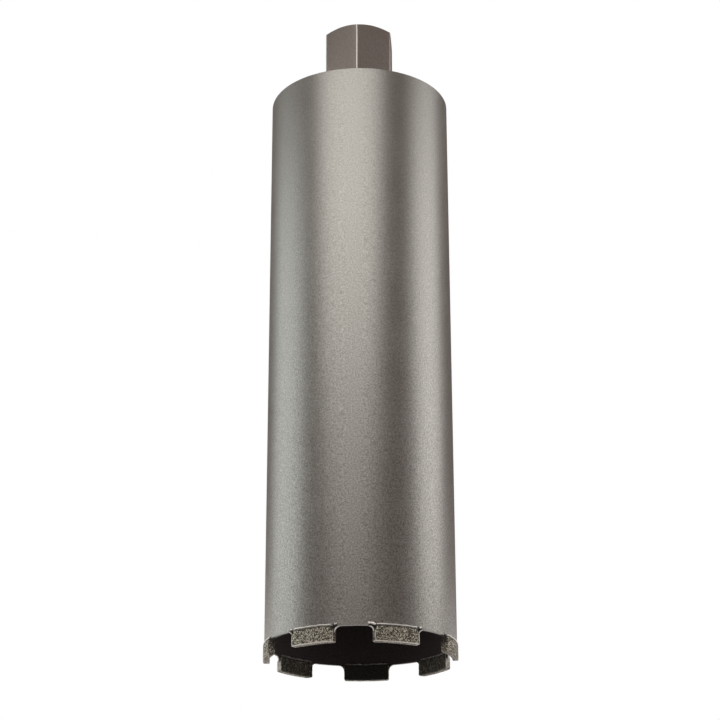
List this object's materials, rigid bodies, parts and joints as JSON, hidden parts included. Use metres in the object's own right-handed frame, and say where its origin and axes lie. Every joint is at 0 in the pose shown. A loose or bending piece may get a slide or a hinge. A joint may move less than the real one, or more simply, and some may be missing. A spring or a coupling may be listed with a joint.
{
  "type": "diamond core bit",
  "caption": "Wet diamond core bit: thin steel barrel with a hexagonal threaded hub at one end and brazed diamond segments round its open cutting end.",
  "frame": {"origin": "on the barrel's axis, in the plane of the segments' cutting faces", "axes": "+Z along the barrel's axis, from the cutting end towards the hub; -Y through a corner of the hexagon and the middle of a gap between two segments; +X through a flat of the hexagon"},
  "size_m": [0.112, 0.1113, 0.4059],
  "materials": {
    "barrel_finish": "satin warm-grey metallic lacquer on steel",
    "hub_finish": "satin warm-grey metallic lacquer on a turned steel hexagon",
    "weld_finish": "rippled weld bead under the same grey lacquer",
    "diamond_matrix": "gritty sintered metal matrix with diamond grains",
    "silver_solder": "bright silver solder, dulled in its hollows"
  },
  "bodies": {
    "root": {"barrel_tube": "barrel_finish", "back_plate": "barrel_finish", "rim_weld": "weld_finish", "threaded_hub": "hub_finish", "hub_weld": "weld_finish", "segment_1": "diamond_matrix", "segment_2": "diamond_matrix", "segment_3": "diamond_matrix", "segment_4": "diamond_matrix", "segment_5": "diamond_matrix", "segment_6": "diamond_matrix", "segment_7": "diamond_matrix", "braze_1": "silver_solder", "braze_2": "silver_solder", "braze_3": "silver_solder", "braze_4": "silver_solder", "braze_5": "silver_solder", "braze_6": "silver_solder", "braze_7": "silver_solder"}
  },
  "joints": []
}
